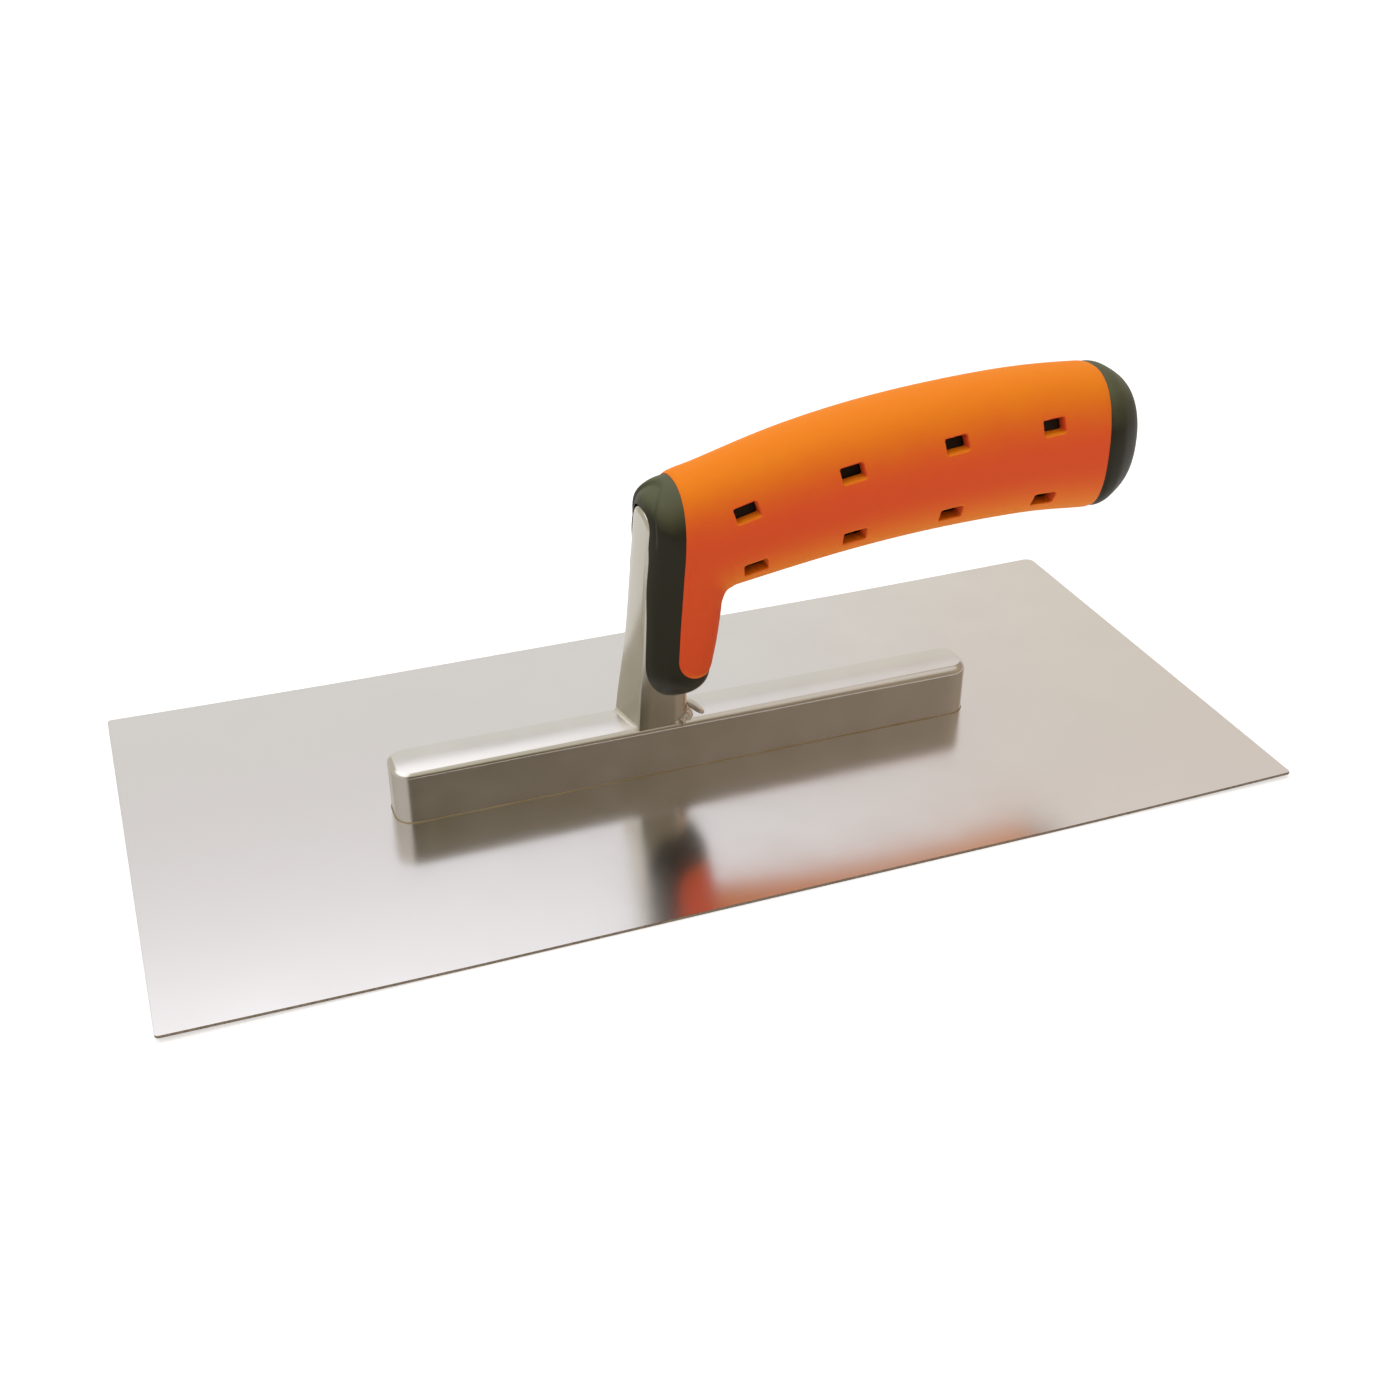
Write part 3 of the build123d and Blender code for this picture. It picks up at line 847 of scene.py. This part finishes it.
def cap_form(name, inset):
    """The free end of the handle's form, drawn in by an inset."""
    return skin(name, handle_rings(inset)[inner_finer * cap_first:])


def before_seam(name, shift):
    """All that lies before the rear seam moved by a shift, as a cutting tool."""
    block = np.array([(block_front, 0), (rear_seam + beyond, 0), (rear_seam + beyond, block_top),
                      (block_front, block_top)], float)
    return through_width(name, block, bowed_from=rear_seam, shift=shift)


rows = outer[outer_finer * cap_first:]
cap = skin("end_cap_shell", sink(rows, near_seam(rows, lip_depth, lip_reach)))
cut(cap, before_seam("front", 0.0))
spigot = cap_form("spigot", spigot_fit)
cut(cut(spigot, before_seam("band", cap_flange), "INTERSECT"), before_seam("front", -spigot_length))
hollow = cap_form("hollow", cap_wall)
cut(hollow, before_seam("front", cap_flange))
cut(cut(cap, spigot, "UNION"), hollow)
cut(cap, cap_form("bore", spigot_fit + spigot_wall))
smooth(cap, 32)

# %% [markdown]
# ## Building a finish
# A finish is a small tree of shader nodes. Colours are written as the eye reads them, in sRGB hex, and
# turned to the linear values that light needs. Pattern sizes are in millimetres.

# %% Shader helpers
def linear(hex_colour):
    """sRGB hex to linear: below 0.04045 divide by 12.92, else ((c + 0.055) / 1.055) to the power 2.4."""
    levels = np.array([*bytes.fromhex(hex_colour[1:])]) / 255
    light = np.where(levels <= 0.04045, levels / 12.92, ((levels + 0.055) / 1.055) ** 2.4)
    return (*light.tolist(), 1.0)


def feed(tree, node, inputs):
    """Links each input given as a socket, and sets each given as a value."""
    for name, value in inputs.items():
        if isinstance(value, bpy.types.NodeSocket):
            tree.links.new(value, node.inputs[name])
        else:
            node.inputs[name].default_value = value
    return node


def add(tree, kind, inputs=(), **settings):
    """Adds one node with its settings, and feeds its inputs."""
    node = tree.nodes.new("ShaderNode" + kind)
    for name, value in settings.items():
        setattr(node, name, value)
    return feed(tree, node, dict(inputs))


def scaled(tree, place, scale):
    """The place with each axis multiplied; a small factor stretches a pattern."""
    return add(tree, "Mapping", {"Vector": place, "Scale": scale}).outputs["Vector"]


def finish_named(name, **plain):
    """A material with its tree, its Principled shader and the place in millimetres."""
    material = bpy.data.materials.new(name)
    material.use_nodes = True
    tree = material.node_tree
    shader = tree.nodes["Principled BSDF"]
    feed(tree, shader, {socket.replace("_", " "): value for socket, value in plain.items()})
    place = add(tree, "TexCoord").outputs["Object"]
    return material, tree, shader, scaled(tree, place, (1 / MM, 1 / MM, 1 / MM))


def noise(tree, place, size, detail, roughness=0.5):
    """Cloudy noise; its patches are about the given size in millimetres."""
    inputs = {"Vector": place, "Scale": 1 / size, "Detail": detail, "Roughness": roughness}
    return add(tree, "TexNoise", inputs).outputs["Fac"]


def spread(tree, value, low, high, start=0.3, end=0.7):
    """Low where the value is at the start, high at the end, and evenly between."""
    inputs = {"Value": value, "From Min": start, "From Max": end, "To Min": low, "To Max": high}
    return add(tree, "MapRange", inputs).outputs["Result"]


def soft_edge(tree, value, start, end):
    """0 before the start, 1 past the end, and a soft change between."""
    return add(tree, "MapRange", {"Value": value, "From Min": start, "From Max": end},
               interpolation_type="SMOOTHSTEP").outputs["Result"]


def bump(tree, height, strength, depth):
    """Surface direction from a height pattern, whose depth is in millimetres."""
    inputs = {"Height": height, "Strength": strength, "Distance": depth * MM}
    return add(tree, "Bump", inputs).outputs["Normal"]


def mixed(tree, share, one, other, blend="MIX"):
    """Colour that goes from one to the other, or to their product, by a share."""
    one, other = (linear(c) if isinstance(c, str) else c for c in (one, other))
    return add(tree, "Mix", {"Factor": share, "A": one, "B": other}, data_type="RGBA",
               blend_type=blend).outputs["Result"]


def ramp(tree, factor, stops):
    """Colour ramp node from (position, colour or grey) pairs."""
    node = add(tree, "ValToRGB", {"Fac": factor})
    elements = node.color_ramp.elements
    for _ in stops[2:]:
        elements.new(0.5)
    for element, (position, colour) in zip(elements, stops):
        element.position = position
        element.color = linear(colour) if isinstance(colour, str) else (colour, colour, colour, 1)
    return node.outputs["Color"]


def dress(material, *objects):
    """Gives the objects this one material."""
    for item in objects:
        item.data.materials.clear()
        item.data.materials.append(material)


# %% [markdown]
# ## Stainless spring steel, rolled and belt-polished
# The blade is almost a mirror close by, and its reflections blur with distance. There is faint grain along
# the sheet from the rolls, and soft cloudy patches where it was handled. The sheared edges are duller and
# browner.

# %% Blade finish
def blade_steel():
    """Rolled grain stretched 60 times along the blade; clouds 25 mm across vary the gloss."""
    material, tree, shader, place = finish_named("stainless_rolled_polished", Metallic=1.0, Roughness=0.2)
    grain = noise(tree, scaled(tree, place, (1 / 60, 1, 1)), 0.5, 3.0, 0.6)
    clouds = noise(tree, place, 25, 4.0, 0.55)
    feed(tree, shader, {"Base Color": ramp(tree, clouds, [(0.3, "#E2E0E0"), (0.7, "#DEDBDB")]),
                        "Roughness": spread(tree, clouds, 0.16, 0.2),
                        "Normal": bump(tree, grain, 0.05, 0.02)})
    return material


def sheared_edge_steel():
    """The cut edge of the sheet: torn steel under a thin brown oxide, mottled in spots of 0.4 mm."""
    material, tree, shader, place = finish_named("stainless_sheared_edge", Metallic=1.0, Roughness=0.45)
    spots = noise(tree, place, 0.4, 2.0)
    feed(tree, shader, {"Base Color": ramp(tree, spots, [(0.3, "#7A6B5A"), (0.7, "#A09384")])})
    return material


dress(blade_steel(), blade)
blade.data.materials.append(sheared_edge_steel())
normals = np.zeros(len(blade.data.polygons) * 3)
blade.data.polygons.foreach_get("normal", normals)
on_edge = np.abs(normals.reshape(-1, 3)[:, 2]) < 0.9
blade.data.polygons.foreach_set("material_index", on_edge.astype(np.int32))

# %% [markdown]
# ## Nickel-plated steel
# Bar and post carry a satin plating. The bar was brushed along its length, and the post upwards, so their
# highlights stretch across the brushing.

# %% Bar, post and weld finishes
def plated_steel(name, colours, grain_scale, gloss=(0.2, 0.26), depth=0.02):
    """Satin metal: grain stretched along one axis, mixed with clouds 12 mm across."""
    material, tree, shader, place = finish_named(name, Metallic=1.0)
    grain = noise(tree, scaled(tree, place, grain_scale), 0.35, 3.0, 0.6)
    clouds = noise(tree, place, 12, 3.0)
    pattern = add(tree, "Mix", {"Factor": 0.35, "A": clouds, "B": grain}).outputs["Result"]
    feed(tree, shader, {"Base Color": ramp(tree, pattern, [(0.3, colours[0]), (0.7, colours[1])]),
                        "Roughness": spread(tree, pattern, *gloss),
                        "Normal": bump(tree, grain, 0.06, depth)})
    return material


dress(plated_steel("nickel_plate_on_pressed_steel", ("#D2CFCC", "#D8D5D2"), (1 / 40, 1, 1)), bar)
dress(plated_steel("nickel_plate_on_forged_steel", ("#C6C3B9", "#CECBC2"), (1, 1, 1 / 30)), post)
for name, colours, gloss, objects in (
        ("weld_metal", ("#CDC7BC", "#DDD8CF"), (0.48, 0.6), (front_fillet, rear_weld)),
        ("weld_metal_tarnished", ("#8D7B5C", "#A8987A"), (0.4, 0.5), (seam,))):
    dress(plated_steel(name, colours, (1, 1, 1), gloss, depth=0.08), *objects)
dress(plated_steel("zinc_plated_steel", ("#B9BDBF", "#CDD0CE"), (1, 1, 1), gloss=(0.3, 0.4)),
      *(frame["nodes"][name] for name in ("tang", "tang_washer", "tang_nut")))

# %% [markdown]
# ## Moulded plastics
# The core, the collar and the end cap are glass-filled nylon with a fine spark-eroded texture: a dark
# olive, with painted light that makes it paler where it faces up; the core, seen only down the windows,
# is a darker copy painted as shade. The grip is a thermoplastic elastomer: a matt, saturated orange that
# lets a little light in under its surface, with painted light that makes it yellower and lighter by the
# way each face turns.

# %% Plastic finishes
def facing(tree, place, wander, way=1):
    """Mask for painted light: 0 on upright faces, 1 on level ones that face up, or down for way -1; 14 mm
    clouds let it wander.
    """
    normal = add(tree, "NewGeometry").outputs["Normal"]
    upward = add(tree, "SeparateXYZ", {"Vector": normal}).outputs["Z"]
    offset = spread(tree, noise(tree, place, 14, 4.0, 0.6), -wander, wander)
    total = add(tree, "Math", {0: upward, 1: way, 2: offset}, operation="MULTIPLY_ADD").outputs["Value"]
    return soft_edge(tree, total, 0.0, 0.95)


def dark_nylon(name, upright, level):
    """Spark-eroded grain of 0.35 mm, coarser than a real one so that it shows; painted light makes the top
    paler.
    """
    material, tree, shader, place = finish_named(name, IOR=1.53, Specular_IOR_Level=0.2)
    # Painted light: faces that look up get the paler second colour, as if lit from above.
    painted_top_light = facing(tree, place, 0.1)
    feed(tree, shader, {"Base Color": ramp(tree, painted_top_light, [(0.15, upright), (0.9, level)]),
                        "Roughness": spread(tree, painted_top_light, 0.42, 0.52, start=0, end=1),
                        "Normal": bump(tree, noise(tree, place, 0.35, 2.0), 0.2, 0.03)})
    return material


def orange_elastomer():
    """Matt orange, stippled in 0.3 mm, with painted light: redder on upright faces, yellower on those that
    face up, and a lighter, yellower orange on those that face down.
    """
    material, tree, shader, place = finish_named(
        "orange_elastomer_moulded", Roughness=0.62, IOR=1.5, Specular_IOR_Level=0.12,
        Subsurface_Weight=0.15, Subsurface_Radius=(1.0, 0.25, 0.08), Subsurface_Scale=1.5 * MM)
    # Painted light: red-orange on upright faces, yellow-orange on upward ones, and a lighter orange painted
    # on the undersides.
    painted_lit_orange = ramp(tree, facing(tree, place, 0.06), [(0.0, "#CE4D24"), (1.0, "#D67711")])
    feed(tree, shader, {"Base Color": mixed(tree, facing(tree, place, 0.0, way=-1), painted_lit_orange, "#EE8A2C"),
                        "Normal": bump(tree, noise(tree, place, 0.3, 2.0), 0.2, 0.03)})
    return material


# Collar and cap: dark olive on upright faces, with a paler olive painted on upward faces as light.
dress(dark_nylon("glass_filled_nylon_spark_textured", "#201F10", "#494C36"), collar, cap)
# The core halves show only down the windows: a darker copy of the same nylon, painted shade for the
# windows' depth.
dress(dark_nylon("glass_filled_nylon_in_shade", "#17120C", "#1D1810"),
      frame["nodes"]["core_right_half"], frame["nodes"]["core_left_half"])
dress(orange_elastomer(), grip)

# %% [markdown]
# ## What stands for what
# Each new piece rides on the model's one body, and the node that it replaces is hidden; the list also
# names the slot of the record that its finish belongs to.

# %% Pieces and nodes
pieces = [(blade, "blade", "blade_steel"), (bar, "back_bar", "bar_steel"),
          (seam, "bar_seam_weld", "weld_steel"), (post, "post", "post_steel"),
          (front_fillet, "post_front_weld", "weld_steel"), (rear_weld, "post_rear_weld", "weld_steel"),
          (collar, "front_collar", "hard_plastic"), (grip, "soft_grip", "soft_layer"),
          (cap, "end_cap", "hard_plastic")]
to_bar = Matrix.Translation((0, bar_offset * MM, 0))
for piece, node, slot_name in pieces:
    if piece is not blade:
        piece.data.transform(to_bar)
    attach(piece, "root")
    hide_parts(node)
    report(piece)

# %% [markdown]
# ## Floor and light
# The trowel lies on a plain white floor. A large soft lamp hangs high at the back left, and a weaker one
# stands in front; metal reflects neither. The room that it does reflect is pale at the far side, with a
# bright panel high at the left, and warm and dim at the near right, which makes upright steel read dark.

# %% Floor
floor_half, floor_drop = 3.0, 0.05  # metres; millimetres under the blade


def add_floor():
    """A flat square under the blade: white to the camera, pale grey in reflections."""
    points = np.array([(-1, -1, 0), (1, -1, 0), (1, 1, 0), (-1, 1, 0)]) * floor_half / MM
    points[:, 2] = -floor_drop
    floor = add_mesh("floor", points, np.array([[0, 1, 2, 3]]), np.zeros((0, 3), int))
    material, tree, shader, _ = finish_named("white_floor", Roughness=0.9, Base_Color=linear("#C8C8C8"),
                                             Specular_IOR_Level=0.0)
    reflected = add(tree, "LightPath").outputs["Is Glossy Ray"]
    strength = spread(tree, reflected, 0.5, 0.1, start=0, end=1)
    glow = add(tree, "Emission", {"Color": (1, 1, 1, 1), "Strength": strength})
    both = add(tree, "AddShader", {0: shader.outputs[0], 1: glow.outputs[0]})
    feed(tree, tree.nodes["Material Output"], {"Surface": both.outputs[0]})
    dress(material, floor)
    floor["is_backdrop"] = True


add_floor()

# %% World
def studio_world():
    """Colour by direction: pale at the far side, dim and warm at the near right."""
    world = bpy.data.worlds.new("studio")
    bpy.context.scene.world = world
    world.use_nodes = True
    tree = world.node_tree
    direction = add(tree, "TexCoord").outputs["Generated"]
    x, _, z = add(tree, "SeparateXYZ", {"Vector": direction}).outputs
    pale = ramp(tree, z, [(0.48, "#F0EFE8"), (0.535, "#E5E1DC"), (0.565, "#E6E2DE"), (0.6, "#F6F3F6"),
                          (0.625, "#FFFEFF")])
    warm = mixed(tree, soft_edge(tree, x, 0.3, 0.52), pale, "#FDF6EE", "MULTIPLY")
    warm = mixed(tree, soft_edge(tree, x, -0.02, -0.3), warm, "#DED9CA", "MULTIPLY")
    high = add(tree, "Math", {0: soft_edge(tree, z, 0.62, 0.7), 1: soft_edge(tree, x, 0.32, 0.12)},
               operation="MULTIPLY").outputs["Value"]
    far_side = mixed(tree, high, warm, (1.62, 1.6, 1.62, 1))
    near_low = ramp(tree, x, [(0.1, "#56482A"), (0.2, "#76674D"), (0.3, "#83735C"), (0.42, "#A3937C"),
                              (0.52, "#B4A38B")])
    near_high = ramp(tree, x, [(0.12, "#CBC8AD"), (0.48, "#FDF3EC")])
    near_side = mixed(tree, soft_edge(tree, z, 0.61, 0.72), near_low, near_high)
    to_near_right = add(tree, "VectorMath", {0: direction, 1: (0.656, -0.755, 0)}, operation="DOT_PRODUCT")
    room = mixed(tree, soft_edge(tree, to_near_right.outputs["Value"], 0.22, 0.42), far_side, near_side)
    shown = mixed(tree, add(tree, "LightPath").outputs["Is Camera Ray"], room, (1, 1, 1, 1))
    feed(tree, tree.nodes["Background"], {"Color": shown, "Strength": 1.0})


studio_world()


# %% Lamps
def add_lamp(name, azimuth, elevation, distance, size, power, colour="#FFFFFF"):
    """Square soft lamp that faces the trowel; azimuth 0 is behind it."""
    a, e = radians(azimuth), radians(elevation)
    away = np.array([sin(a) * cos(e), cos(a) * cos(e), sin(e)])
    level = np.array([cos(a), -sin(a), 0])
    lamp = bpy.data.objects.new(name, bpy.data.lights.new(name, "AREA"))
    lamp.data.shape, lamp.data.size, lamp.data.energy = "SQUARE", size, power
    lamp.data.color = linear(colour)[:3]
    lamp.visible_glossy = False
    stand(lamp, level, np.cross(away, level), away, away * distance)


add_lamp("key", azimuth=-25, elevation=62, distance=0.95, size=0.85, power=3.4)
add_lamp("fill", azimuth=170, elevation=30, distance=1.2, size=1.0, power=3.0, colour="#FFE9DA")

# %% [markdown]
# ## Finish
# The last lines print the model's box and the box of the dressed trowel.

# %% Size and finish
bpy.context.scene.view_settings.view_transform = "Standard"
visual_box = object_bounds()
for label, box in (("model", cad_box), ("dressed", visual_box)):
    print(label, "box", [tuple(round(v / MM, 2) for v in c) for c in box])
